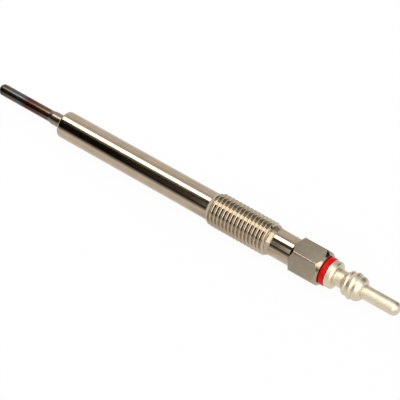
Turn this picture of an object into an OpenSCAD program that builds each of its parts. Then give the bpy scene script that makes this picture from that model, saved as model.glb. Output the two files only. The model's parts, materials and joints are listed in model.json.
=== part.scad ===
// Diesel glow plug with a sheathed heater rod, lying along X with its tip towards -X.
// The origin is on the axis, at the end of the housing where the seat cone begins.

/* [Heater tube] */
// Distance from the seat end of the housing to the tip of the rod
tip_reach = 24.2; // [23:0.1:30]
// Outer diameter of the hot part of the tube
rod_d = 3.5; // [3.4:0.05:3.8]
// Corner radius of the closed tip
tip_round = 1.4; // [0.6:0.1:1.6]
// Thickness of the closed tip
tip_wall = 1.1; // [0.8:0.1:1.8]
// Wall of the tube
tube_wall = 0.5; // [0.4:0.05:0.55]
// Outer diameter of the collar that is pressed into the housing
collar_d = 4.0; // [3.9:0.05:4.4]
// Length of collar that shows in front of the housing
collar_reach = 3.3; // [2:0.1:5]
// Length of the cone between rod and collar
step_len = 1.1; // [0.3:0.1:1.6]
// Length of collar held by the housing
grip_len = 14; // [11:0.5:18]
// Length of tube behind the grip
tail_len = 6; // [4:0.5:9]

/* [Coils] */
// Mean diameter of both coils
coil_d = 1.6; // [1.5:0.05:1.65]
// Wire of the heating coil
heat_wire = 0.38; // [0.3:0.02:0.4]
// Turns of the heating coil
heat_turns = 9; // [6:1:10]
// Pitch of the heating coil
heat_pitch = 0.9; // [0.7:0.05:1]
// Wire of the control coil
control_wire = 0.3; // [0.24:0.02:0.36]
// Turns of the control coil
control_turns = 12; // [8:1:14]
// Pitch of the control coil
control_pitch = 0.8; // [0.6:0.05:0.9]
// Straight wire at each end of a coil
coil_lead = 0.6; // [0.4:0.1:1]
// Length of powder between the two coils
coil_web = 1; // [0.6:0.1:1.6]

/* [Electrode] */
// Diameter of the electrode in the housing
electrode_d = 3; // [2.6:0.1:3.2]
// Diameter of the electrode in the tube
electrode_front_d = 2; // [1.9:0.1:2.2]
// Length of the stub inside the control coil
stub_len = 2; // [1:0.1:3]
// Distance from the tube to the full diameter
electrode_rise_gap = 1; // [0.5:0.1:3]
// Depth of the electrode in the terminal
electrode_grip = 9.5; // [6:0.5:10]
// Length of the seal in the tube
seal_len = 3; // [2:0.1:4]

/* [Housing] */
// Diameter of the smooth shank and of the neck
shank_d = 8.2; // [7.8:0.05:8.3]
// Distance from the seat end to the foot of the thread
shank_len = 55.2; // [40:0.1:70]
// Angle of the seat cone from the axis
seat_angle = 65; // [50:1:80]
// Radius between seat cone and shank
seat_round = 0.8; // [0.3:0.1:1.2]
// Bore of the housing behind the grip
bore_d = 5.2; // [4.8:0.1:5.6]
// Counterbore for the sealing ring and the insulator
counterbore_d = 6.2; // [6:0.1:6.6]
// Depth of the counterbore
counterbore_len = 7.5; // [6:0.1:9]

/* [Thread] */
// Diameter over the thread crests
thread_d = 9.9; // [9.5:0.05:9.95]
// Pitch of the thread
thread_pitch = 1.25; // [1:0.05:1.5]
// Length from the first crest to the last
thread_len = 18.2; // [12:0.1:26]
// Depth of the thread
thread_depth = 0.7; // [0.5:0.05:0.72]
// Slope of the lead chamfer and of the run-out from the axis
thread_slope = 30; // [25:1:45]
// Radius where the run-out meets the neck
runout_round = 2.5; // [0.5:0.1:3]

/* [Hexagon] */
// Length of the neck between run-out and hexagon
neck_len = 6.4; // [4:0.1:12]
// Width across the flats
hex_af = 10; // [9.95:0.05:11]
// Length of the hexagon
hex_len = 9.8; // [7:0.1:12]
// Diameter of the round end face
hex_face_d = 9; // [8.8:0.1:9.6]
// Diameter of the round face on the neck side
hex_back_d = 8.4; // [8.4:0.1:9.6]
// Angle of the corner chamfers from the end face
hex_chamfer = 45; // [30:1:50]
// Angle of the cone on the neck side from its face
hex_back_chamfer = 40; // [30:1:50]

/* [Insulator and seal] */
// Diameter of the red ring
ring_d = 8.3; // [7.6:0.1:8.6]
// Thickness of the red ring
ring_len = 1.8; // [1.4:0.1:3]
// Radius of the edges of the red ring
ring_round = 0.5; // [0.2:0.05:0.65]
// Length of the sealing ring
seal_ring_len = 1.6; // [1.2:0.1:2.2]
// Radius of the edges of the sealing ring
seal_ring_round = 0.45; // [0.2:0.05:0.55]

/* [Terminal] */
// Diameter of the flange
flange_d = 8; // [7.4:0.1:8.4]
// Thickness of the flange
flange_len = 2.1; // [1.5:0.1:3]
// Radius of the edge of the flange
flange_round = 0.8; // [0.3:0.1:1.2]
// Diameter of the neck behind the flange
terminal_neck_d = 4.9; // [4.6:0.1:5.6]
// Length of the neck
terminal_neck_len = 2.3; // [1.5:0.1:4]
// Slope of the flare that leads up to the beads, from the axis
flare_angle = 44; // [30:1:60]
// Diameter of the first bead and of the shoulder behind the beads
bead_d = 7.2; // [6.6:0.1:7.4]
// Diameter of the middle bead
middle_bead_d = 7.9; // [7.6:0.1:8.4]
// Radius of the bead section
bead_round = 0.7; // [0.6:0.05:0.72]
// Spacing of the beads
bead_pitch = 1.7; // [1.5:0.05:1.9]
// Radius of the shoulder that falls to the pin
shoulder_round = 1.7; // [1.6:0.1:1.8]
// Distance from the middle bead to the top of the shoulder
shoulder_pitch = 1.5; // [1.4:0.05:1.8]
// Diameter of the round pin
pin_d = 4; // [3.6:0.05:4.2]
// Length of the pin with its round end
pin_len = 11.1; // [8:0.1:14]
// Corner radius of the round end
pin_round = 1.7; // [0.8:0.1:1.75]

/* [Hidden] */
$fn = 96;
arc_steps = 10;
wire_sides = 6;
rings_per_turn = 14;
bend_steps = 4;

// Running clearances
slot_gap = 0.05;
lead_gap = 0.03;
insulator_gap = 0.05;

// Radii
rod_r = rod_d / 2;
collar_r = collar_d / 2;
coil_r = coil_d / 2;
shank_r = shank_d / 2;
thread_r = thread_d / 2;
electrode_r = electrode_d / 2;
electrode_front_r = electrode_front_d / 2;
counterbore_r = counterbore_d / 2;
rod_bore_r = rod_r - tube_wall;
collar_bore_r = collar_r - tube_wall;
wire_r = max(heat_wire, control_wire) / 2;
slot_inner_r = coil_r - wire_r - slot_gap;
slot_outer_r = coil_r + wire_r + slot_gap;
lead_hole_r = wire_r + lead_gap;

// A coil is drawn on its unrolled cylinder: a straight lead, a bend, the slope of the helix, a bend and a lead.
bend_r = coil_r / 2;
function helix_slope(pitch) = atan(pitch / (2 * PI * coil_r));
function bend_len(pitch) = bend_r * cos(helix_slope(pitch));
function coil_len(turns, pitch) = turns * pitch + 2 * bend_len(pitch);
function coil_turn(turns, pitch) =
    turns * 360 + 2 * bend_r * (1 - sin(helix_slope(pitch))) / coil_r * 180 / PI;

// Stations along the axis inside the tube
x_tip = -tip_reach;
x_weld = x_tip + tip_wall;
x_heat = x_weld + coil_lead;
x_web = x_heat + coil_len(heat_turns, heat_pitch);
x_join = x_web + coil_web / 2;
x_control = x_web + coil_web;
x_control_end = x_control + coil_len(control_turns, control_pitch);
x_shoulder = x_control_end + coil_lead;
x_stub = x_shoulder - coil_lead - stub_len;
x_collar = -collar_reach;
x_step = x_collar - step_len;
x_tube_end = grip_len + tail_len;
x_tube_seal = x_tube_end - seal_len;
x_rise = x_tube_end + electrode_rise_gap;
rise_len = electrode_r - electrode_front_r;

// Stations along the housing
x_seat_arc = (shank_r - seat_round * (1 - cos(seat_angle)) - collar_r) / tan(seat_angle);
x_seat_end = x_seat_arc + seat_round * sin(seat_angle);
x_crest = shank_len + (thread_r - shank_r) / tan(thread_slope);
x_crest_end = x_crest + thread_len;
runout_arc_rise = runout_round * (1 - cos(thread_slope));
x_runout_arc = x_crest_end + (thread_r - shank_r - runout_arc_rise) / tan(thread_slope);
x_neck = x_runout_arc + runout_round * sin(thread_slope);
x_hex = x_neck + neck_len;
x_hex_end = x_hex + hex_len;
x_counterbore = x_hex_end - counterbore_len;
x_spigot = x_counterbore + seal_ring_len;
hex_corner_r = hex_af / 2 / cos(30);

// Thread form, with 60 degree flanks and flat roots
root_flat = thread_pitch / 8;
groove_w = root_flat + 2 * thread_depth * tan(30);
groove_count = floor(thread_len / thread_pitch);
x_first_groove = x_crest + (thread_len - (groove_count - 1) * thread_pitch) / 2;

// Stations along the terminal
x_terminal = x_hex_end + ring_len;
x_flange_end = x_terminal + flange_len;
x_flare = x_flange_end + terminal_neck_len;
bead_span = 40;
shoulder_span = 25;
bead_r = bead_d / 2;
flare_top_r = bead_r - bead_round * (1 - cos(flare_angle));
x_flare_top = x_flare + (flare_top_r - terminal_neck_d / 2) / tan(flare_angle);
x_first_bead = x_flare_top + bead_round * sin(flare_angle);
x_middle_bead = x_first_bead + bead_pitch;
x_shoulder_top = x_middle_bead + shoulder_pitch;
shoulder_fall = acos((pin_d / 2 - bead_r + shoulder_round) / shoulder_round);
x_pin = x_shoulder_top + shoulder_round * sin(shoulder_fall);
x_end = x_pin + pin_len;

// Points of an arc in the profile plane, where angle 0 points away from the axis and 90 along +X
function arc(center, radius, from, to) = [
    for (i = [0 : arc_steps])
    let (a = from + (to - from) * i / arc_steps)
    center + radius * [cos(a), sin(a)]
];

// Solid of revolution about X from points [radius, x]
module turned(points) {
    rotate([0, 90, 0])
        rotate_extrude()
            polygon(points);
}

// Straight round hole or bar along X
module bar(radius, from, to) {
    translate([from, 0, 0])
        rotate([0, 90, 0])
            cylinder(r = radius, h = to - from);
}

// Route of one coil on its unrolled cylinder, as [distance round, x]
function coil_route(x, turns, pitch, lead_in, lead_out) =
    let (
        slope = helix_slope(pitch),
        round_1 = bend_r * (1 - sin(slope)),
        run = turns * 2 * PI * coil_r,
        x_helix = x + bend_len(pitch),
        x_out = x_helix + turns * pitch,
        rings = turns * rings_per_turn
    )
    concat(
        [[0, x - lead_in]],
        [for (i = [0 : bend_steps])
            let (a = (90 - slope) * i / bend_steps)
            [bend_r * (1 - cos(a)), x + bend_r * sin(a)]],
        [for (i = [1 : rings - 1])
            [round_1 + run * i / rings, x_helix + turns * pitch * i / rings]],
        [for (i = [0 : bend_steps])
            let (a = slope + (90 - slope) * i / bend_steps)
            [round_1 + run + bend_r * (sin(a) - sin(slope)), x_out + bend_r * (cos(slope) - cos(a))]],
        [[2 * round_1 + run, x_out + bend_len(pitch) + lead_out]]
    );

// Wire swept along a route, with its section square to the route at each point
module coil(route, wire, turn) {
    last = len(route) - 1;
    points = [
        for (i = [0 : last])
        let (
            ahead = route[min(i + 1, last)] - route[max(i - 1, 0)],
            along = ahead / norm(ahead),
            a = turn + route[i][0] / coil_r * 180 / PI,
            outward = [0, sin(a), cos(a)],
            tangent = [along[1], along[0] * cos(a), -along[0] * sin(a)],
            across = cross(tangent, outward)
        )
        for (k = [0 : wire_sides - 1])
        let (b = 360 * k / wire_sides)
        [route[i][1], 0, 0] + coil_r * outward + wire / 2 * (cos(b) * outward + sin(b) * across)
    ];
    sides = [
        for (i = [0 : last - 1], k = [0 : wire_sides - 1])
        let (
            a = i * wire_sides + k,
            b = i * wire_sides + (k + 1) % wire_sides,
            c = a + wire_sides,
            d = b + wire_sides
        )
        each [[a, c, b], [b, c, d]]
    ];
    caps = [
        [for (k = [0 : wire_sides - 1]) k],
        [for (k = [wire_sides - 1 : -1 : 0]) last * wire_sides + k],
    ];
    polyhedron(points, concat(sides, caps));
}

// Hexagon with a flat underneath, its corners trimmed at one end and turned to a cone at the neck
module hexagon() {
    back_trim = (hex_corner_r - hex_back_d / 2) * tan(hex_back_chamfer);
    front_trim = (hex_corner_r - hex_face_d / 2) * tan(hex_chamfer);
    intersection() {
        translate([x_hex, 0, 0])
            rotate([0, 90, 0])
                rotate([0, 0, 30])
                    cylinder(r = hex_corner_r, h = hex_len, $fn = 6);
        turned([
            [0, x_hex],
            [hex_back_d / 2, x_hex],
            [hex_corner_r, x_hex + back_trim],
            [hex_corner_r, x_hex_end - front_trim],
            [hex_face_d / 2, x_hex_end],
            [0, x_hex_end],
        ]);
    }
}

// Grooves of the thread along the crest line
function thread_outline() = [
    for (i = [0 : groove_count - 1])
    let (x = x_first_groove + i * thread_pitch)
    each [
        [thread_r, x - groove_w / 2],
        [thread_r - thread_depth, x - root_flat / 2],
        [thread_r - thread_depth, x + root_flat / 2],
        [thread_r, x + groove_w / 2],
    ]
];

module housing() {
    color([0.69, 0.64, 0.57])
    difference() {
        union() {
            turned(concat(
                [[0, 0], [collar_r, 0]],
                arc([shank_r - seat_round, x_seat_end], seat_round, -seat_angle, 0),
                [[shank_r, shank_len], [thread_r, x_crest]],
                thread_outline(),
                [[thread_r, x_crest_end]],
                arc([shank_r + runout_round, x_neck], runout_round, 180 + thread_slope, 180),
                [[shank_r, x_hex_end], [0, x_hex_end]]
            ));
            hexagon();
        }
        bar(collar_r, -1, grip_len + 1);
        bar(bore_d / 2, grip_len, x_hex_end);
        bar(counterbore_r, x_counterbore, x_hex_end + 1);
    }
}

module glow_tube() {
    color([0.42, 0.36, 0.32])
        turned(concat(
            [[0, x_weld], [0, x_tip]],
            arc([rod_r - tip_round, x_tip + tip_round], tip_round, -90, 0),
            [
                [rod_r, x_step],
                [collar_r, x_collar],
                [collar_r, x_tube_end],
                [collar_bore_r, x_tube_end],
                [collar_bore_r, x_collar],
                [rod_bore_r, x_step],
                [rod_bore_r, x_weld],
            ]
        ));
}

module heating_coil() {
    color([0.6, 0.56, 0.5])
        coil(coil_route(x_heat, heat_turns, heat_pitch, coil_lead, coil_web / 2), heat_wire, 0);
}

module control_coil() {
    color([0.66, 0.6, 0.48])
        coil(
            coil_route(x_control, control_turns, control_pitch, coil_web / 2, coil_lead),
            control_wire, coil_turn(heat_turns, heat_pitch)
        );
}

// Hole in the powder for a straight lead of a coil
module lead_hole(turn, from, to) {
    translate([0, coil_r * sin(turn), coil_r * cos(turn)])
        bar(lead_hole_r, from, to);
}

module insulating_powder() {
    color([0.93, 0.92, 0.88])
    difference() {
        turned([
            [0, x_weld],
            [rod_bore_r, x_weld],
            [rod_bore_r, x_step],
            [collar_bore_r, x_collar],
            [collar_bore_r, x_tube_seal],
            [0, x_tube_seal],
        ]);
        difference() {
            bar(slot_outer_r, x_heat - slot_gap, x_web + slot_gap);
            bar(slot_inner_r, x_weld, x_control);
        }
        difference() {
            bar(slot_outer_r, x_control - slot_gap, x_shoulder);
            bar(slot_inner_r, x_web, x_stub);
        }
        bar(electrode_front_r, x_shoulder, x_tube_seal + 1);
        lead_hole(0, x_weld - 1, x_heat);
        lead_hole(coil_turn(heat_turns, heat_pitch), x_web, x_control);
    }
}

module tube_seal() {
    color([0.12, 0.12, 0.13])
    difference() {
        bar(collar_bore_r, x_tube_seal, x_tube_end);
        bar(electrode_front_r, x_tube_seal - 1, x_tube_end + 1);
    }
}

module center_electrode() {
    color([0.62, 0.62, 0.63])
        turned([
            [0, x_stub],
            [slot_inner_r, x_stub],
            [slot_inner_r, x_shoulder],
            [electrode_front_r, x_shoulder],
            [electrode_front_r, x_rise],
            [electrode_r, x_rise + rise_len],
            [electrode_r, x_terminal + electrode_grip],
            [0, x_terminal + electrode_grip],
        ]);
}

module sealing_ring() {
    inner = electrode_r + seal_ring_round;
    outer = counterbore_r - seal_ring_round;
    low = x_counterbore + seal_ring_round;
    high = x_spigot - seal_ring_round;
    color([0.1, 0.1, 0.11])
        turned(concat(
            arc([outer, low], seal_ring_round, -90, 0),
            arc([outer, high], seal_ring_round, 0, 90),
            arc([inner, high], seal_ring_round, 90, 180),
            arc([inner, low], seal_ring_round, 180, 270)
        ));
}

module insulator_ring() {
    spigot_r = counterbore_r - insulator_gap;
    edge = ring_d / 2 - ring_round;
    color([0.78, 0.06, 0.04])
    difference() {
        turned(concat(
            [[0, x_spigot], [spigot_r, x_spigot], [spigot_r, x_hex_end]],
            arc([edge, x_hex_end + ring_round], ring_round, -90, 0),
            arc([edge, x_terminal - ring_round], ring_round, 0, 90),
            [[0, x_terminal]]
        ));
        bar(electrode_r + insulator_gap, x_spigot - 1, x_terminal + 1);
    }
}

module terminal_pin() {
    color([0.9, 0.89, 0.86])
    difference() {
        turned(concat(
            [[0, x_terminal], [flange_d / 2, x_terminal]],
            arc([flange_d / 2 - flange_round, x_flange_end - flange_round], flange_round, 0, 90),
            [[terminal_neck_d / 2, x_flange_end], [terminal_neck_d / 2, x_flare]],
            arc([bead_r - bead_round, x_first_bead], bead_round, -flare_angle, bead_span),
            arc([middle_bead_d / 2 - bead_round, x_middle_bead], bead_round, -bead_span, bead_span),
            arc([bead_r - shoulder_round, x_shoulder_top], shoulder_round, -shoulder_span, shoulder_fall),
            arc([pin_d / 2 - pin_round, x_end - pin_round], pin_round, 0, 90),
            [[0, x_end]]
        ));
        bar(electrode_r, x_terminal - 1, x_terminal + electrode_grip);
    }
}

housing();
glow_tube();
heating_coil();
control_coil();
insulating_powder();
tube_seal();
center_electrode();
sealing_ring();
insulator_ring();
terminal_pin();
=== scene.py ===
import json
import math

import bmesh
import bpy
import numpy as np
from mathutils import Matrix, Vector


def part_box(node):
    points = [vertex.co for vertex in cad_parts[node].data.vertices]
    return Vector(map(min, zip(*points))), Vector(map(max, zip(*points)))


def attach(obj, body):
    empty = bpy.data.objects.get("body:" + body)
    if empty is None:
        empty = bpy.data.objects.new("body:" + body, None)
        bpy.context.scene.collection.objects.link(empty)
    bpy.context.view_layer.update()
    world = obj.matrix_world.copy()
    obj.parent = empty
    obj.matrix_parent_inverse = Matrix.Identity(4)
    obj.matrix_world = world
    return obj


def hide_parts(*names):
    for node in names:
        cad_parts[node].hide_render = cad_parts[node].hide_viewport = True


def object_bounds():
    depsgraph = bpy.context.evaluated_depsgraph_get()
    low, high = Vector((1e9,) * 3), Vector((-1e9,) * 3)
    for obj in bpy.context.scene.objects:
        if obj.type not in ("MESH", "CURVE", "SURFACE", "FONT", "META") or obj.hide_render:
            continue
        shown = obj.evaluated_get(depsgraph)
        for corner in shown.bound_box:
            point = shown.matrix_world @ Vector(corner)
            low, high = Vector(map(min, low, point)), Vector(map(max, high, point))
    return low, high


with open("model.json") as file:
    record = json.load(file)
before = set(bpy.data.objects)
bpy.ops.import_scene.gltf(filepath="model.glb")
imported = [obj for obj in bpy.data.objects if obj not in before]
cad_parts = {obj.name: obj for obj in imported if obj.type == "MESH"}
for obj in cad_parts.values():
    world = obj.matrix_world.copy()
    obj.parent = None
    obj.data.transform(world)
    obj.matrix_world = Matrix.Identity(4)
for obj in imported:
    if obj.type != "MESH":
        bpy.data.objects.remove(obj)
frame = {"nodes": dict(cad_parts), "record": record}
cad_low, cad_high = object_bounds()

# Lengths of the part are in millimetres, and angles are written in degrees.
MM = 0.001
MOUNTS = {mount["name"]: mount for mount in frame["record"]["mounts"]}


def ends(node):
    """Lowest and highest place of a node along the axis."""
    low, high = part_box(node)
    return low.x / MM, high.x / MM


def radius_of(node):
    """Largest radius of a round node."""
    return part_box(node)[1].y / MM


# Places and radii taken from the frame
x_seat, x_hex_end = ends("housing")
x_tip, x_tube_end = ends("glow_tube")
x_spigot, x_terminal = ends("insulator_ring")
x_pin_end = ends("terminal_pin")[1]
x_counterbore = ends("sealing_ring")[0]
x_electrode_end = ends("center_electrode")[1]
hex_apothem = -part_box("housing")[0].z / MM
collar_r = radius_of("glow_tube")
ring_r = radius_of("insulator_ring")
flange_r = radius_of("terminal_pin")
electrode_r = radius_of("center_electrode")
counterbore_r = radius_of("sealing_ring")
collar_bore_r = radius_of("tube_seal")
thread_r = MOUNTS["thread"]["dims"]["r_mm"]
thread_len = MOUNTS["thread"]["dims"]["length_mm"]
pin_r = MOUNTS["terminal"]["dims"]["r_mm"]

# Housing
SHANK_R = 4.1
SEAT_ANGLE = 65
SEAT_ROUND = 0.8
GRIP_LEN = 14
BORE_R = 2.6
X_THREAD_FOOT = 55.2
THREAD_PITCH = 1.25
THREAD_DEPTH = 0.7
THREAD_SLOPE = math.radians(30)
FLANK_ANGLE = math.radians(30)
X_VALLEY_AT_TOP = 66.53
RUNOUT_ROUND = 2.5
RUNOUT_FADE = (0.5, 1.3)
CREST_ROUND = 0.22
ROOT_ROUND = 0.12
ROOT_FLAT = THREAD_PITCH / 8
NECK_LEN = 6.4
HEX_SIDES = 6
HEX_LEN = 9.8
HEX_FACE_R = 4.5
HEX_BACK_R = 4.2
HEX_CHAMFER = math.radians(45)
HEX_BACK_CHAMFER = math.radians(40)
HEX_EDGE_ROUND = 0.45
HEX_BACK_ROUND = 0.12
HEX_FRONT_ROUND = 0.2
HEX_FACE_ROUND = 0.15
FINE_ROUND = 0.1

# Heater tube
ROD_R = 1.75
ROD_BORE_R = 1.25
TIP_ROUND = 1.4
TIP_WALL = 1.1
COLLAR_REACH = 3.3
STEP_LEN = 1.1
STEP_FOOT_ROUND = 0.3
STEP_TOP_ROUND = 0.4

# Red ring and terminal
RING_ROUND = 0.5
SPIGOT_ROUND = 0.2
INSULATOR_GAP = 0.05
FLANGE_LEN = 2.1
FLANGE_ROUND = 0.8
FLANGE_FOOT_ROUND = 0.15
FLANGE_STRAIGHT = 1
TERMINAL_NECK_R = 2.45
TERMINAL_NECK_LEN = 2.3
NECK_ROUND = 0.25
FLARE_ROUND = 0.4
FLARE_ANGLE = 44
BEAD_R = 3.6
MIDDLE_BEAD_R = 3.95
BEAD_ROUND = 0.7
BEAD_PITCH = 1.7
BEAD_SPAN = 40
SHOULDER_ROUND = 1.7
SHOULDER_PITCH = 1.5
SHOULDER_SPAN = 25
PIN_ROUND = 1.7

# Stations of the housing
x_crest = X_THREAD_FOOT + (thread_r - SHANK_R) / math.tan(THREAD_SLOPE)
x_crest_end = x_crest + thread_len
x_hex = x_hex_end - HEX_LEN
x_neck = x_hex - NECK_LEN

# Steps and limits of the meshes
ROUND_STEPS = 4
ARC_STEPS = 12
EDGE_STEPS = 3
FLAT_STEPS = 10
SUPPORT = 0.06
LONG_STRETCH = 4 * SUPPORT
TURNS_BEFORE_FOOT = 3
TURNS_AFTER_NECK = 1
SHARP_ANGLE = math.radians(40)
MERGE_DISTANCE = 2e-4
DEGENERATE_DISTANCE = 1e-5
SMALLEST_LENGTH = 1e-9
ZONE_MARGIN = 0.02
POLISHED, THREADED, SATIN, DRILLED = range(4)

# Share of a side that a fillet may take, alone and with a fillet at the side's other end
SHARE_ALONE = 0.95
SHARE_OF_TWO = 0.45

# Angle from a corner of the hexagon to the middle of a flat
half_sector = math.radians(180 / HEX_SIDES)


def corner_reach():
    """Angle from a corner of the hexagon to the end of its rounded edge."""
    center = (hex_apothem - HEX_EDGE_ROUND) / math.cos(half_sector)
    return math.atan2(
        HEX_EDGE_ROUND * math.sin(half_sector),
        center + HEX_EDGE_ROUND * math.cos(half_sector),
    )


def make_angles():
    """Angles round the axis, from the top over the front, close at the corners of the hexagon."""
    edge = np.linspace(0, corner_reach(), EDGE_STEPS + 1)
    flat = np.linspace(corner_reach() + SUPPORT / hex_apothem, half_sector, FLAT_STEPS)
    half = np.concatenate([edge, flat])
    sector = np.concatenate([-half[:0:-1], half[:-1]])
    corners = np.radians((np.arange(HEX_SIDES) + 0.5) * 360 / HEX_SIDES)
    return (corners[:, None] + sector[None, :]).ravel()


ANGLES = make_angles()


def hexagon_radius():
    """Distance from the axis to the hexagon, at each angle."""
    from_corner = np.mod(ANGLES, 2 * half_sector) - half_sector
    center = (hex_apothem - HEX_EDGE_ROUND) / math.cos(half_sector)
    flat = hex_apothem / np.cos(half_sector - np.abs(from_corner))
    chord = HEX_EDGE_ROUND ** 2 - (center * np.sin(from_corner)) ** 2
    edge = center * np.cos(from_corner) + np.sqrt(np.maximum(chord, 0))
    return np.where(np.abs(from_corner) < corner_reach(), edge, flat)


def spread(x, r):
    """One row of the grid: x and radius at each angle."""
    return np.array(np.broadcast_arrays(x, r, ANGLES)[:2], float)


def rounded(corners):
    """Rows through corners (x, r, fillet radius), rounded at each corner that has a fillet."""
    points = [spread(x, r) for x, r, _ in corners]
    rows = []
    for i, (_, _, fillet) in enumerate(corners):
        if not fillet:
            rows.append(points[i])
            continue
        sides = [points[i - 1] - points[i], points[i + 1] - points[i]]
        lengths = [np.linalg.norm(side, axis=0) for side in sides]
        back, ahead = [side / np.maximum(length, SMALLEST_LENGTH) for side, length in zip(sides, lengths)]
        half_turn = np.arccos(np.clip(-(back * ahead).sum(0), -1, 1)) / 2
        room = [
            length * (SHARE_OF_TWO if corners[j][2] else SHARE_ALONE)
            for length, j in zip(lengths, (i - 1, i + 1))
        ]
        cut = np.minimum(fillet * np.tan(half_turn), np.minimum(*room))
        for s in np.linspace(0, 1, ROUND_STEPS + 1):
            rows.append(points[i] + cut * ((1 - s) ** 2 * back + s ** 2 * ahead))
    return rows


def arc(x, r, radius, start, end):
    """Rows along an arc about (x, r), where angle 0 points away from the axis and 90 along +X."""
    turns = np.radians(np.linspace(start, end, ARC_STEPS + 1))
    return [spread(x + radius * math.sin(a), r + radius * math.cos(a)) for a in turns]


def supported(rows):
    """Rows with one more close to each end of a long stretch, so that its shading stays true."""
    result = [rows[0]]
    for before, after in zip(rows, rows[1:]):
        length = np.linalg.norm(after - before, axis=0).max()
        if length > LONG_STRETCH:
            step = (after - before) * SUPPORT / length
            result += [before + step, after - step]
        result.append(after)
    return result


def swept(rows, angles=None):
    """Points and quads of rows of (x, r) swept round the axis."""
    closed = angles is None
    rows = supported(rows) if closed else rows
    angles = ANGLES if closed else angles
    x, r = np.array(rows).transpose(1, 0, 2)
    points = np.stack([x, -r * np.sin(angles), r * np.cos(angles)], -1).reshape(-1, 3)
    count = len(angles)
    row = np.arange(len(rows) - 1)[:, None] * count
    column = np.arange(count if closed else count - 1)[None, :]
    after = (column + 1) % count
    quads = np.stack([row + column, row + after, row + count + after, row + count + column], -1)
    return points, quads.reshape(-1, 4)


def make_piece(name, grids, materials, zone=None):
    """One closed mesh from grids that meet edge to edge, riding on the part."""
    points, quads, start = [], [], 0
    for grid_points, grid_quads in grids:
        points.append(grid_points * MM)
        quads.append(grid_quads + start)
        start += len(grid_points)
    mesh = bpy.data.meshes.new(name)
    mesh.from_pydata(np.concatenate(points).tolist(), [], np.concatenate(quads).tolist())
    work = bmesh.new()
    work.from_mesh(mesh)
    bmesh.ops.remove_doubles(work, verts=work.verts, dist=MERGE_DISTANCE * MM)
    bmesh.ops.dissolve_degenerate(work, dist=DEGENERATE_DISTANCE * MM, edges=work.edges)
    bmesh.ops.recalc_face_normals(work, faces=work.faces)
    work.to_mesh(mesh)
    work.free()
    for material in materials:
        mesh.materials.append(material)
    mesh.polygons.foreach_set("use_smooth", [True] * len(mesh.polygons))
    if zone:
        centers = np.zeros(len(mesh.polygons) * 3)
        mesh.polygons.foreach_get("center", centers)
        x, y, z = centers.reshape(-1, 3).T / MM
        mesh.polygons.foreach_set("material_index", zone(x, np.hypot(y, z)))
    mesh.set_sharp_from_angle(angle=SHARP_ANGLE)
    mesh.update()
    piece = bpy.data.objects.new(name, mesh)
    bpy.context.scene.collection.objects.link(piece)
    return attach(piece, "root")


# Housing


def crest_limit(x):
    """Radius of the lead chamfer, the crests and the run-out at x."""
    rise = SHANK_R + (x - X_THREAD_FOOT) * math.tan(THREAD_SLOPE)
    fall = thread_r - (x - x_crest_end) * math.tan(THREAD_SLOPE)
    from_neck = np.clip(x_neck - x, 0, RUNOUT_ROUND * math.sin(THREAD_SLOPE))
    foot = SHANK_R + RUNOUT_ROUND - np.sqrt(RUNOUT_ROUND ** 2 - from_neck ** 2)
    return np.minimum(np.minimum(rise, thread_r), np.maximum(fall, foot))


def thread_section():
    """Places along one pitch and the depths there, with the valley at 0."""
    root = ROOT_FLAT / 2
    crest = root + THREAD_DEPTH * math.tan(FLANK_ANGLE)
    half = THREAD_PITCH / 2
    corners = [
        (-half, 0, 0),
        (-crest, 0, CREST_ROUND),
        (-root, THREAD_DEPTH, ROOT_ROUND),
        (root, THREAD_DEPTH, ROOT_ROUND),
        (crest, 0, CREST_ROUND),
        (half, 0, 0),
    ]
    return [row[:, 0] for row in rounded(corners)][:-1]


def thread_grid():
    """Helical thread between shank and neck, as a grid that follows the helix."""
    angles = np.append(ANGLES, ANGLES[0] + 2 * math.pi)
    section = thread_section()
    fade_start, fade_end = RUNOUT_FADE
    first = math.floor((X_THREAD_FOOT - X_VALLEY_AT_TOP) / THREAD_PITCH) - TURNS_BEFORE_FOOT
    last = math.ceil((x_neck - X_VALLEY_AT_TOP) / THREAD_PITCH) + TURNS_AFTER_NECK
    rows = []
    for turn in range(first, last + 1):
        for along, depth in section:
            x = X_VALLEY_AT_TOP + THREAD_PITCH * (turn + angles / (2 * math.pi)) + along
            x = np.clip(x, X_THREAD_FOOT, x_neck)
            past = np.clip((x - x_crest_end - fade_start) / (fade_end - fade_start), 0, 1)
            fade = 1 - past * past * (3 - 2 * past)
            r = np.minimum(thread_r - depth * fade, crest_limit(x))
            rows.append(np.array([x, r]))
    return swept(rows, angles)


def housing_zone(x, r):
    """Material of each face: polished, thread, hexagon or bore."""
    zone = np.full(len(x), POLISHED)
    groove = r < crest_limit(x) - SUPPORT
    zone[(x > X_THREAD_FOOT) & ((x < x_crest_end) | groove) & (x < x_neck)] = THREADED
    zone[x > x_hex + (r - HEX_BACK_R) * math.tan(HEX_BACK_CHAMFER) + SUPPORT] = SATIN
    zone[r < counterbore_r + ZONE_MARGIN] = DRILLED
    zone[(x < SEAT_ROUND) & (r > collar_r + ZONE_MARGIN)] = POLISHED
    return zone


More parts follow.
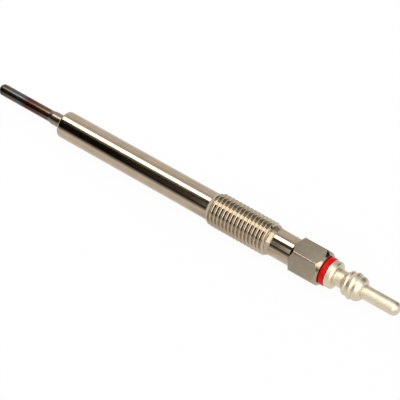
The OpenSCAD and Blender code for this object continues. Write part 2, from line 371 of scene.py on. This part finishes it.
def make_housing(materials):
    """Turned and plated housing with its seat, thread, hexagon and bores."""
    x_cone = (SHANK_R - collar_r) / math.tan(math.radians(SEAT_ANGLE))
    front = rounded([
        (x_seat, collar_r, 0),
        (x_cone, SHANK_R, SEAT_ROUND),
        (X_THREAD_FOOT, SHANK_R, 0),
    ])
    hexagon = hexagon_radius()
    back_trim = (hexagon - HEX_BACK_R) * math.tan(HEX_BACK_CHAMFER)
    face_trim = (hexagon - HEX_FACE_R) * math.tan(HEX_CHAMFER)
    rear = rounded([
        (x_neck, SHANK_R, 0),
        (x_hex, SHANK_R, FINE_ROUND),
        (x_hex, HEX_BACK_R, FINE_ROUND),
        (x_hex + back_trim, hexagon, HEX_BACK_ROUND),
        (x_hex_end - face_trim, hexagon, HEX_FRONT_ROUND),
        (x_hex_end, HEX_FACE_R, HEX_FACE_ROUND),
        (x_hex_end, counterbore_r, FINE_ROUND),
        (x_counterbore, counterbore_r, 0),
        (x_counterbore, BORE_R, 0),
        (GRIP_LEN, BORE_R, 0),
        (GRIP_LEN, collar_r, 0),
        (x_seat, collar_r, 0),
    ])
    piece = make_piece(
        "plated_housing", [swept(front), thread_grid(), swept(rear)], materials, housing_zone
    )
    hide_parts("housing")


# Heater tube, red ring and terminal


def make_heater_tube(material):
    """Closed tube with a domed tip, a step and the collar that the housing grips."""
    x_weld = x_tip + TIP_WALL
    x_collar = x_seat - COLLAR_REACH
    x_step = x_collar - STEP_LEN
    rows = [spread(x_weld, 0), spread(x_tip, 0)]
    rows += arc(x_tip + TIP_ROUND, ROD_R - TIP_ROUND, TIP_ROUND, -90, 0)
    rows += rounded([
        (x_tip + TIP_ROUND, ROD_R, 0),
        (x_step, ROD_R, STEP_FOOT_ROUND),
        (x_collar, collar_r, STEP_TOP_ROUND),
        (x_tube_end, collar_r, FINE_ROUND),
        (x_tube_end, collar_bore_r, 0),
        (x_collar, collar_bore_r, 0),
        (x_step, ROD_BORE_R, 0),
        (x_weld, ROD_BORE_R, 0),
        (x_weld, 0, 0),
    ])
    piece = make_piece("heater_tube_skin", [swept(rows)], [material])
    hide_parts("glow_tube")


def make_red_ring(material):
    """Insulating ring with its spigot in the housing."""
    spigot_r = counterbore_r - INSULATOR_GAP
    hole_r = electrode_r + INSULATOR_GAP
    edge = ring_r - RING_ROUND
    rows = rounded([
        (x_spigot, hole_r, 0),
        (x_spigot, spigot_r, SPIGOT_ROUND),
        (x_hex_end, spigot_r, 0),
    ])
    rows += arc(x_hex_end + RING_ROUND, edge, RING_ROUND, -90, 0)
    rows += arc(x_terminal - RING_ROUND, edge, RING_ROUND, 0, 90)
    rows += [spread(x_terminal, hole_r), spread(x_spigot, hole_r)]
    piece = make_piece("red_ring", [swept(rows)], [material])
    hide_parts("insulator_ring")


def make_terminal(material):
    """Turned terminal on the electrode: a flange, two beads, a shoulder and a round pin."""
    x_flange_end = x_terminal + FLANGE_LEN
    x_flare = x_flange_end + TERMINAL_NECK_LEN
    flare = math.radians(FLARE_ANGLE)
    flare_rise = BEAD_R - BEAD_ROUND * (1 - math.cos(flare)) - TERMINAL_NECK_R
    x_bead = x_flare + flare_rise / math.tan(flare) + BEAD_ROUND * math.sin(flare)
    shoulder_fall = math.degrees(math.acos((pin_r - BEAD_R + SHOULDER_ROUND) / SHOULDER_ROUND))
    rows = rounded([
        (x_terminal, electrode_r, 0),
        (x_terminal, flange_r, FLANGE_FOOT_ROUND),
        (x_terminal + FLANGE_STRAIGHT, flange_r, 0),
    ])
    rows += arc(x_flange_end - FLANGE_ROUND, flange_r - FLANGE_ROUND, FLANGE_ROUND, 0, 90)
    rows += rounded([
        (x_flange_end, flange_r - FLANGE_ROUND, 0),
        (x_flange_end, TERMINAL_NECK_R, NECK_ROUND),
        (x_flare, TERMINAL_NECK_R, FLARE_ROUND),
        (x_flare + flare_rise / math.tan(flare), TERMINAL_NECK_R + flare_rise, 0),
    ])
    x_middle = x_bead + BEAD_PITCH
    beads = [
        (x_bead, BEAD_R, BEAD_ROUND, -FLARE_ANGLE, BEAD_SPAN),
        (x_middle, MIDDLE_BEAD_R, BEAD_ROUND, -BEAD_SPAN, BEAD_SPAN),
        (x_middle + SHOULDER_PITCH, BEAD_R, SHOULDER_ROUND, -SHOULDER_SPAN, shoulder_fall),
    ]
    for x, crown, radius, start, end in beads:
        rows += arc(x, crown - radius, radius, start, end)
    rows += arc(x_pin_end - PIN_ROUND, pin_r - PIN_ROUND, PIN_ROUND, 0, 90)
    rows += [spread(x_pin_end, 0), spread(x_electrode_end, 0), spread(x_electrode_end, electrode_r)]
    rows += [spread(x_terminal, electrode_r)]
    piece = make_piece("terminal_post", [swept(rows)], [material])
    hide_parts("terminal_pin")


# Materials, with lengths in metres

NOISE_RANGE = (0.3, 0.7)

# Sockets of the Mix node that hold colours
MIX_LOW, MIX_HIGH, MIX_RESULT = 6, 7, 2


def srgb(red, green, blue):
    """Linear colour from 8-bit values."""
    values = [c / 255 for c in (red, green, blue)]
    linear = [c / 12.92 if c < 0.04045 else ((c + 0.055) / 1.055) ** 2.4 for c in values]
    return (*linear, 1)


class Finish:
    """One node material, with short calls for the nodes that the finishes share."""

    def __init__(self, name):
        self.material = bpy.data.materials.new(name)
        self.material.use_nodes = True
        self.tree = self.material.node_tree
        self.shader = self.tree.nodes["Principled BSDF"]
        self.place = self.add("ShaderNodeTexCoord", out="Object")
        apart = self.tree.nodes.new("ShaderNodeSeparateXYZ")
        self.put(apart.inputs[0], self.place)
        self.x, self.y, self.z = apart.outputs

    def put(self, socket, value):
        """Sets a socket, or links it."""
        if isinstance(value, bpy.types.NodeSocket):
            self.tree.links.new(value, socket)
        else:
            socket.default_value = value

    def add(self, kind, inputs=None, out=0, **settings):
        """Adds a node and returns one of its outputs."""
        made = self.tree.nodes.new(kind)
        for key, value in settings.items():
            setattr(made, key, value)
        for key, value in (inputs or {}).items():
            self.put(made.inputs[key], value)
        return made.outputs[out]

    def math(self, operation, *values):
        """Math node."""
        return self.add("ShaderNodeMath", dict(enumerate(values)), operation=operation)

    def noise(self, scale, detail=3, rough=0.5, stretch=(1, 1, 1)):
        """Noise with features of about one over scale, in metres."""
        place = self.add("ShaderNodeMapping", {"Vector": self.place, "Scale": stretch})
        return self.add("ShaderNodeTexNoise", {
            "Vector": place, "Scale": scale, "Detail": detail, "Roughness": rough,
        })

    def lines(self, scale, detail=2):
        """Fine rings round the axis, as a tool leaves them."""
        return self.add(
            "ShaderNodeTexNoise", {"W": self.x, "Scale": scale, "Detail": detail}, noise_dimensions="1D"
        )

    def radius(self):
        """Distance from the axis."""
        squares = [self.math("POWER", value, 2) for value in (self.y, self.z)]
        return self.math("SQRT", self.math("ADD", *squares))

    def turn(self):
        """Angle round the axis, from the vertical towards +Y."""
        return self.math("ARCTAN2", self.y, self.z)

    def scaled(self, value, low, high, to_low, to_high):
        """Map Range node."""
        return self.add("ShaderNodeMapRange", {
            "Value": value, "From Min": low, "From Max": high, "To Min": to_low, "To Max": to_high,
        })

    def ramp(self, value, stops):
        """Colour ramp through stops (place from 0 to 1, colour)."""
        made = self.tree.nodes.new("ShaderNodeValToRGB")
        self.put(made.inputs[0], value)
        elements = made.color_ramp.elements
        while len(elements) < len(stops):
            elements.new(0.5)
        for element, (place, colour) in zip(elements, stops):
            element.position = place
            element.color = colour
        return made.outputs[0]

    def between(self, noise, low, high):
        """Value from low to high over the usual range of a noise."""
        return self.scaled(noise, *NOISE_RANGE, low, high)

    def two_tone(self, noise, dark, light):
        """Colour from dark to light over the usual range of a noise."""
        return self.ramp(noise, list(zip(NOISE_RANGE, (dark, light))))

    def mix(self, share, low, high):
        """Blend of two colours."""
        made = self.tree.nodes.new("ShaderNodeMix")
        made.data_type = "RGBA"
        self.put(made.inputs[0], share)
        self.put(made.inputs[MIX_LOW], low)
        self.put(made.inputs[MIX_HIGH], high)
        return made.outputs[MIX_RESULT]

    def bump(self, height, distance, strength=1, under=None):
        """Bump of a height in metres, over another bump if one is given."""
        inputs = {"Height": height, "Distance": distance, "Strength": strength}
        if under is not None:
            inputs["Normal"] = under
        return self.add("ShaderNodeBump", inputs)

    def done(self, **sockets):
        """Sets the shader's sockets by their names, with _ for a space."""
        for key, value in sockets.items():
            self.put(self.shader.inputs[key.replace("_", " ")], value)
        return self.material


def polished_nickel():
    """Bright plating on the turned shank and neck."""
    f = Finish("polished_nickel")
    lines = f.lines(9000)
    cloud = f.noise(260, 4, 0.6)
    colour = f.two_tone(cloud, srgb(172, 155, 133), srgb(184, 167, 145))
    rough = f.math("ADD", f.between(lines, 0.06, 0.1), f.between(cloud, 0, 0.02))
    waves = f.bump(f.noise(120, 2, 0.5, (0.3, 1, 1)), 1.5e-5, 0.5)
    return f.done(
        Base_Color=colour, Metallic=1.0, Roughness=rough, Normal=f.bump(lines, 4e-7, 0.25, waves)
    )


def threaded_nickel():
    """Plating on the thread, a little duller down in the valleys, where its colour is a little browner:
    partly a grime tint and partly painted shade.
    """
    f = Finish("threaded_nickel")
    cloud = f.noise(900, 4, 0.6)
    height = f.scaled(f.radius(), (thread_r - THREAD_DEPTH) * MM, thread_r * MM, 0, 1)
    tint_and_shade_height = f.math("ADD", height, f.scaled(cloud, 0.2, 0.8, -0.15, 0.15))
    # Browner valleys by height: partly a grime tint, partly painted shade down in the grooves.
    colour = f.ramp(tint_and_shade_height, [
        (0.05, srgb(174, 160, 138)), (0.5, srgb(193, 180, 160)), (0.95, srgb(188, 174, 152)),
    ])
    rough = f.scaled(tint_and_shade_height, 0, 1, 0.1, 0.09)
    return f.done(Base_Color=colour, Metallic=1.0, Roughness=rough, Normal=f.bump(cloud, 4e-6, 0.4))


def satin_hexagon():
    """Satin plating on the drawn flats of the hexagon."""
    f = Finish("satin_hexagon")
    grain = f.noise(2600, 3, 0.6, (0.12, 1, 1))
    cloud = f.noise(320, 3, 0.5)
    colour = f.two_tone(cloud, srgb(157, 144, 125), srgb(168, 155, 136))
    rough = f.between(grain, 0.13, 0.19)
    return f.done(Base_Color=colour, Metallic=1.0, Roughness=rough, Normal=f.bump(grain, 3e-6, 0.5))


def drilled_steel():
    """Bare steel in the bores."""
    f = Finish("drilled_steel")
    lines = f.lines(5000)
    colour = f.two_tone(lines, srgb(110, 106, 100), srgb(138, 132, 124))
    return f.done(
        Base_Color=colour, Metallic=1.0, Roughness=f.between(lines, 0.35, 0.5),
        Normal=f.bump(lines, 4e-6, 0.6),
    )


def heat_tinted_tube():
    """Sheath that has glowed: brown at the tip, then grey, red-brown and bronze, plain at the collar."""
    f = Finish("heat_tinted_tube")
    cloud = f.noise(700, 4, 0.6)
    wander = f.math("ADD", f.x, f.scaled(cloud, 0.2, 0.8, -0.0006, 0.0006))
    share = f.scaled(wander, x_tip * MM, x_seat * MM, 0, 1)
    colour = f.ramp(share, [
        (0.0, srgb(77, 66, 56)),
        (0.2, srgb(89, 81, 74)),
        (0.33, srgb(88, 87, 88)),
        (0.47, srgb(78, 47, 40)),
        (0.62, srgb(89, 66, 49)),
        (0.8, srgb(103, 84, 65)),
        (0.87, srgb(140, 130, 115)),
    ])
    lines = f.lines(8000)
    rough = f.math("ADD", f.between(lines, 0.17, 0.23), f.between(cloud, 0, 0.07))
    return f.done(
        Base_Color=colour, Metallic=1.0, Roughness=rough, Normal=f.bump(lines, 1e-6, 0.4)
    )


def red_plastic():
    """Glossy moulded ring."""
    f = Finish("red_plastic")
    cloud = f.noise(500, 3, 0.5)
    colour = f.two_tone(cloud, srgb(206, 8, 3), srgb(222, 14, 6))
    rough = f.between(cloud, 0.24, 0.34)
    return f.done(
        Base_Color=colour, Roughness=rough, Normal=f.bump(f.noise(3000, 2), 3e-6, 0.4),
        Specular_IOR_Level=0.1,
    )


def pale_terminal():
    """Pale satin plating on the terminal."""
    f = Finish("pale_terminal")
    lines = f.lines(7000)
    cloud = f.noise(400, 4, 0.6)
    colour = f.two_tone(cloud, srgb(209, 196, 173), srgb(217, 205, 183))
    rough = f.math("ADD", f.between(lines, 0.38, 0.42), f.between(cloud, 0, 0.05))
    return f.done(
        Base_Color=colour, Metallic=1.0, Roughness=rough, Normal=f.bump(lines, 8e-7, 0.4)
    )


def wire(name, dark, light):
    """Drawn resistance wire with a thin oxide."""
    f = Finish(name)
    cloud = f.noise(5000, 4, 0.6)
    colour = f.two_tone(cloud, dark, light)
    return f.done(
        Base_Color=colour, Metallic=1.0, Roughness=f.between(cloud, 0.3, 0.5),
        Normal=f.bump(cloud, 2e-6, 0.5),
    )


def packed_powder():
    """White insulating powder, packed hard."""
    f = Finish("packed_powder")
    grain = f.noise(14000, 4, 0.7)
    colour = f.two_tone(grain, srgb(218, 214, 204), srgb(242, 240, 232))
    return f.done(
        Base_Color=colour, Roughness=f.between(grain, 0.85, 0.95), Normal=f.bump(grain, 2e-5, 0.8)
    )


def black_rubber(name):
    """Dull black rubber."""
    f = Finish(name)
    grain = f.noise(6000, 4, 0.6)
    colour = f.two_tone(grain, srgb(22, 22, 23), srgb(36, 36, 38))
    return f.done(
        Base_Color=colour, Roughness=f.between(grain, 0.6, 0.78), Normal=f.bump(grain, 6e-6, 0.5)
    )


def drawn_steel():
    """Drawn steel of the electrode, with scratches along its length."""
    f = Finish("drawn_steel")
    grain = f.noise(4000, 3, 0.6, (0.05, 1, 1))
    colour = f.two_tone(grain, srgb(150, 150, 152), srgb(178, 178, 180))
    return f.done(
        Base_Color=colour, Metallic=1.0, Roughness=f.between(grain, 0.28, 0.4),
        Normal=f.bump(grain, 3e-6, 0.5),
    )


def dress(node, material):
    """Puts a material on every slot of a node that stays as it is."""
    mesh = frame["nodes"][node].data
    mesh.materials.clear()
    mesh.materials.append(material)


make_housing([polished_nickel(), threaded_nickel(), satin_hexagon(), drilled_steel()])
make_heater_tube(heat_tinted_tube())
make_red_ring(red_plastic())
make_terminal(pale_terminal())
dress("heating_coil", wire("heating_wire", srgb(112, 104, 94), srgb(150, 140, 126)))
dress("control_coil", wire("control_wire", srgb(128, 116, 94), srgb(164, 150, 122)))
dress("insulating_powder", packed_powder())
dress("tube_seal", black_rubber("tube_seal_rubber"))
dress("sealing_ring", black_rubber("sealing_ring_rubber"))
dress("center_electrode", drawn_steel())

# Studio, with lengths in metres

FLOOR_SIZE = 6.0
FLOOR_COLOUR = (0.9, 0.9, 0.9, 1)
FLOOR_ROUGHNESS = 0.9
FLOOR_GLOW = 0.96
SOFTBOX_PLACE = Vector((-0.334, -0.012, 0.6))
SOFTBOX_SIZE = (0.4, 0.46)
SOFTBOX_RADIANCE = 3.2
SKY_FOR_DIFFUSE = 0.8

# Colour of the cards, which goes from a warm grey to brown at low levels
WARM_TINT = (1, 0.94, 0.88)
BROWN_PULL = (0, 0.3, 0.5)
BROWN_LEVEL = 0.02

# Cards bent round the axis of the part
CURVED_CARD_RADIUS = 0.35
CURVED_CARD_COLUMNS = 25
FLAG_ENDS = (-1.2, -0.034)
FLAG_SPAN = (-105, -5.5)
FLAG_FADE = (-0.2, -0.034)
FLAG_MIDDLE = [
    (0.26, 0.01), (0.347, 0.04), (0.492, 0.06), (0.54, 0.08), (0.59, 0.26), (0.64, 0.37), (0.72, 0.37),
    (0.77, 0.2), (0.855, 0.26), (0.885, 1.4), (0.905, 1.4), (0.925, 0.05),
]
FLAG_EDGES = [(0.26, 0.01), (0.347, 0.02), (0.578, 0.03), (0.9, 0.03)]
FLAG_CENTER = -45
FLAG_MIDDLE_REACH = (13, 19)
FLAG_RIM = (-24, -5.5)
FLAG_RIM_START = (0.05, 0.08)
FLAG_RIM_END = (0.52, 0.57)
FLAG_RIM_LEVEL = 0.42
FLAG_LOWER_FADE = (-104, -70)
FLAG_FAR_FADE = (0.98, 1)
BACK_CARD_ENDS = (-1.2, 0.4)
BACK_CARD_SPAN = (20, 90)
BACK_CARD_BANDS = [
    [(20, 1.0), (24, 0.78), (38, 0.78), (60, 1.0), (74, 0.95), (90, 0.84)],
    [(20, 0.9), (23, 0.45), (32, 0.5), (42, 0.92), (74, 0.95), (90, 0.84)],
    [(20, 1.0), (24, 0.87), (37, 0.87), (45, 0.4), (90, 0.4)],
]
BACK_CARD_STEPS = [(-0.1, -0.09), (-0.052, -0.048)]
END_CARD_ENDS = (-1.2, -0.33)
END_CARD_SPAN = (-5.5, 20)
END_CARD_LEVEL = 0.12
RIGHT_LIGHT_ENDS = (0.01, 0.37)
RIGHT_LIGHT_SPAN = (-62, 19)
RIGHT_LIGHT_LEVEL = 2.1

# Flat cards beside the part
DARK_CARD_X = (0.104, 0.16)
DARK_CARD_Y = 0.06
DARK_CARD_TOP = 0.048
DARK_CARD_LEVEL = 0.02
FLOOR_SHADE_START = (0.044, 0.054)
FLOOR_SHADE_END = (0.071, 0.077)
FLOOR_SHADE_REACH = 0.06
FLOOR_SHADE_LIFT = 0.0001
FLOOR_SHADE_LEVEL = 0.75

# Cards round the terminal
FAR_CARD_CENTER = Vector((0.1, 0, 0))
FAR_CARD_DISTANCE = 0.3
FAR_CARD_COLUMNS = 9
SIDE_LIGHT_AZIMUTHS = (-55, 12)
SIDE_LIGHT_HEIGHTS = (17, 58)
SIDE_LIGHT_LEVEL = 3.0
LOW_FLAG_AZIMUTHS = (-45, -20)
LOW_FLAG_HEIGHTS = (1, 14)
LOW_FLAG_LEVEL = 0.15


def seen_white(tree):
    """1 for rays that show a background: camera, glossy and transmission rays."""
    path = tree.nodes.new("ShaderNodeLightPath")
    total = None
    for name in ("Is Camera Ray", "Is Glossy Ray", "Is Transmission Ray"):
        if total is None:
            total = path.outputs[name]
            continue
        both = tree.nodes.new("ShaderNodeMath")
        both.operation = "MAXIMUM"
        tree.links.new(total, both.inputs[0])
        tree.links.new(path.outputs[name], both.inputs[1])
        total = both.outputs[0]
    return total


def make_world():
    """White for what the camera and reflections see, and a plain level of light on the object."""
    world = bpy.data.worlds.new("studio")
    world.use_nodes = True
    tree = world.node_tree
    background = tree.nodes["Background"]
    background.inputs["Color"].default_value = (1, 1, 1, 1)
    level = tree.nodes.new("ShaderNodeMapRange")
    level.inputs["To Min"].default_value = SKY_FOR_DIFFUSE
    level.inputs["To Max"].default_value = 1.0
    tree.links.new(seen_white(tree), level.inputs["Value"])
    tree.links.new(level.outputs[0], background.inputs["Strength"])
    bpy.context.scene.world = world


def make_floor():
    """White floor that keeps the shadow of the object."""
    mesh = bpy.data.meshes.new("floor")
    half = FLOOR_SIZE / 2
    height = cad_low.z
    mesh.from_pydata(
        [(-half, -half, height), (half, -half, height), (half, half, height), (-half, half, height)],
        [], [(0, 1, 2, 3)],
    )
    material = bpy.data.materials.new("white_floor")
    material.use_nodes = True
    tree = material.node_tree
    shader = tree.nodes["Principled BSDF"]
    shader.inputs["Base Color"].default_value = FLOOR_COLOUR
    shader.inputs["Roughness"].default_value = FLOOR_ROUGHNESS
    shader.inputs["Specular IOR Level"].default_value = 0
    glow = tree.nodes.new("ShaderNodeEmission")
    mixed = tree.nodes.new("ShaderNodeMixShader")
    share = tree.nodes.new("ShaderNodeMath")
    share.operation = "MULTIPLY"
    share.inputs[1].default_value = FLOOR_GLOW
    tree.links.new(seen_white(tree), share.inputs[0])
    tree.links.new(share.outputs[0], mixed.inputs[0])
    tree.links.new(shader.outputs[0], mixed.inputs[1])
    tree.links.new(glow.outputs[0], mixed.inputs[2])
    tree.links.new(mixed.outputs[0], tree.nodes["Material Output"].inputs[0])
    mesh.materials.append(material)
    floor = bpy.data.objects.new("floor", mesh)
    bpy.context.scene.collection.objects.link(floor)


def make_softbox():
    """Large soft lamp above, beyond the tip."""
    lamp = bpy.data.lights.new("softbox", "AREA")
    lamp.shape = "RECTANGLE"
    lamp.size, lamp.size_y = SOFTBOX_SIZE
    lamp.energy = SOFTBOX_RADIANCE * math.pi * SOFTBOX_SIZE[0] * SOFTBOX_SIZE[1]
    softbox = bpy.data.objects.new("softbox", lamp)
    softbox.location = SOFTBOX_PLACE
    bpy.context.scene.collection.objects.link(softbox)
    softbox.visible_camera = False


def stage_card(name, points, quads, material):
    """Card that only reflections show."""
    mesh = bpy.data.meshes.new(name)
    mesh.from_pydata(points, [], quads)
    mesh.materials.append(material)
    card = bpy.data.objects.new(name, mesh)
    bpy.context.scene.collection.objects.link(card)
    card.visible_camera = False
    card.visible_diffuse = False
    card.visible_shadow = False
    card.visible_transmission = False


def strip_quads(columns):
    """Quads between two rows of points."""
    return [(i, i + 1, columns + i + 1, columns + i) for i in range(columns - 1)]


def curved_card(name, span, ends_x, material):
    """Card bent round the axis of the part, over a span of angles from the vertical towards +Y."""
    turns = np.radians(np.linspace(*span, CURVED_CARD_COLUMNS))
    arc_points = [(CURVED_CARD_RADIUS * math.sin(a), CURVED_CARD_RADIUS * math.cos(a)) for a in turns]
    points = [(x, y, z) for x in ends_x for y, z in arc_points]
    stage_card(name, points, strip_quads(CURVED_CARD_COLUMNS), material)


def white(level):
    """Linear white of a level."""
    return (level, level, level, 1)


def warm_grey(level):
    """Linear grey that turns brown where it is dark."""
    brown = math.exp(-level / BROWN_LEVEL)
    return (*[level * (tint - pull * brown) for tint, pull in zip(WARM_TINT, BROWN_PULL)], 1)


def card_glow(f, colour, cover=1.0):
    """Material that glows in a colour where the cover is 1 and isn't there where it is 0."""
    glow = f.add("ShaderNodeEmission", {"Color": colour})
    clear = f.add("ShaderNodeBsdfTransparent")
    mixed = f.add("ShaderNodeMixShader", {0: cover, 1: clear, 2: glow})
    f.put(f.tree.nodes["Material Output"].inputs[0], mixed)
    return f.material


def make_flag():
    """Dark flag in front, lighter towards the terminal, with a pale rim along the shank."""
    f = Finish("dark_flag")
    turn = f.turn()
    along = f.scaled(f.x, *FLAG_FADE, 0, 1)
    middle, edges = [
        f.ramp(along, [(place, warm_grey(level)) for place, level in stops])
        for stops in (FLAG_MIDDLE, FLAG_EDGES)
    ]
    from_middle = f.math("ABSOLUTE", f.math("SUBTRACT", turn, math.radians(FLAG_CENTER)))
    outer = f.scaled(from_middle, *np.radians(FLAG_MIDDLE_REACH), 0, 1)
    rim_start = f.scaled(along, *FLAG_RIM_START, 0, 1)
    rim_end = f.scaled(along, *FLAG_RIM_END, 1, 0)
    beside_shank = f.math("MULTIPLY", rim_start, rim_end)
    rim = f.math("MULTIPLY", f.scaled(turn, *np.radians(FLAG_RIM), 0, 1), beside_shank)
    colour = f.mix(rim, f.mix(outer, middle, edges), white(FLAG_RIM_LEVEL))
    lower_edge = f.scaled(turn, *np.radians(FLAG_LOWER_FADE), 0, 1)
    far_edge = f.scaled(along, *FLAG_FAR_FADE, 1, 0)
    cover = f.math("MULTIPLY", lower_edge, far_edge)
    curved_card("flag", FLAG_SPAN, FLAG_ENDS, card_glow(f, colour, cover))


def make_back_card():
    """Pale grey card behind, which gives the top of the part its soft bands."""
    f = Finish("back_card")
    first, last = BACK_CARD_SPAN
    share = f.scaled(f.turn(), *np.radians(BACK_CARD_SPAN), 0, 1)
    bands = [
        f.ramp(share, [((angle - first) / (last - first), white(level)) for angle, level in band])
        for band in BACK_CARD_BANDS
    ]
    colour = bands[0]
    for band, step in zip(bands[1:], BACK_CARD_STEPS):
        colour = f.mix(f.scaled(f.x, *step, 0, 1), colour, band)
    curved_card("back_card", BACK_CARD_SPAN, BACK_CARD_ENDS, card_glow(f, colour))


def make_end_card():
    """Dark card past the far end of the softbox."""
    glow = card_glow(Finish("end_card"), warm_grey(END_CARD_LEVEL))
    curved_card("end_card", END_CARD_SPAN, END_CARD_ENDS, glow)


def make_right_light():
    """Bright card towards the terminal, which lights the run-out and the crests of the thread."""
    glow = card_glow(Finish("right_light"), white(RIGHT_LIGHT_LEVEL))
    curved_card("right_light", RIGHT_LIGHT_SPAN, RIGHT_LIGHT_ENDS, glow)


def make_dark_card():
    """Small dark card that stands behind the terminal."""
    points = [(x, DARK_CARD_Y, z) for z in (cad_low.z, DARK_CARD_TOP) for x in DARK_CARD_X]
    glow = card_glow(Finish("dark_card"), warm_grey(DARK_CARD_LEVEL))
    stage_card("dark_card", points, strip_quads(2), glow)


def make_floor_shade():
    """Light grey shade on the floor beside the thread."""
    f = Finish("floor_shade")
    near_tip = f.scaled(f.x, *FLOOR_SHADE_START, 0, 1)
    near_terminal = f.scaled(f.x, *FLOOR_SHADE_END, 1, 0)
    cover = f.math("MULTIPLY", near_tip, near_terminal)
    height = cad_low.z + FLOOR_SHADE_LIFT
    ends_x = (FLOOR_SHADE_START[0], FLOOR_SHADE_END[1])
    points = [(x, y, height) for y in (-FLOOR_SHADE_REACH, FLOOR_SHADE_REACH) for x in ends_x]
    stage_card("floor_shade", points, strip_quads(2), card_glow(f, warm_grey(FLOOR_SHADE_LEVEL), cover))


def far_card(name, azimuths, heights, colour):
    """Evenly lit card between azimuths from +X towards +Y and heights, as seen from the terminal."""
    points = []
    for b in np.radians(heights):
        for a in np.radians(np.linspace(*azimuths, FAR_CARD_COLUMNS)):
            away = Vector((math.cos(a) * math.cos(b), math.sin(a) * math.cos(b), math.sin(b)))
            points.append(FAR_CARD_CENTER + FAR_CARD_DISTANCE * away)
    stage_card(name, points, strip_quads(FAR_CARD_COLUMNS), card_glow(Finish(name), colour))


make_world()
make_floor()
make_softbox()
make_flag()
make_back_card()
make_end_card()
make_right_light()
make_dark_card()
make_floor_shade()
far_card("side_light", SIDE_LIGHT_AZIMUTHS, SIDE_LIGHT_HEIGHTS, white(SIDE_LIGHT_LEVEL))
far_card("low_flag", LOW_FLAG_AZIMUTHS, LOW_FLAG_HEIGHTS, warm_grey(LOW_FLAG_LEVEL))

# Camera, with lengths in millimetres

AZIMUTH = math.radians(42.9)
ELEVATION = math.radians(51.75)
ROLL = math.radians(-6.84)
DISTANCE = 492
AIM = Vector((53.09, -2.89, 4.77))
IMAGE_PIXELS = 400
FOCAL_PIXELS = 1783
SENSOR_WIDTH = 36
CLIP_START = 10


def make_camera():
    """Camera at the photograph's angle."""
    data = bpy.data.cameras.new("camera")
    data.sensor_width = SENSOR_WIDTH
    data.lens = FOCAL_PIXELS / IMAGE_PIXELS * SENSOR_WIDTH
    data.clip_start = CLIP_START * MM
    back = Vector((
        math.sin(AZIMUTH) * math.cos(ELEVATION),
        -math.cos(AZIMUTH) * math.cos(ELEVATION),
        math.sin(ELEVATION),
    ))
    turn = back.to_track_quat("Z", "Y").to_matrix() @ Matrix.Rotation(ROLL, 3, "Z")
    camera = bpy.data.objects.new("camera", data)
    camera.location = (AIM + back * DISTANCE) * MM
    camera.rotation_euler = turn.to_euler()
    bpy.context.scene.collection.objects.link(camera)
    bpy.context.scene.camera = camera


make_camera()
bpy.context.scene.view_settings.view_transform = "Standard"
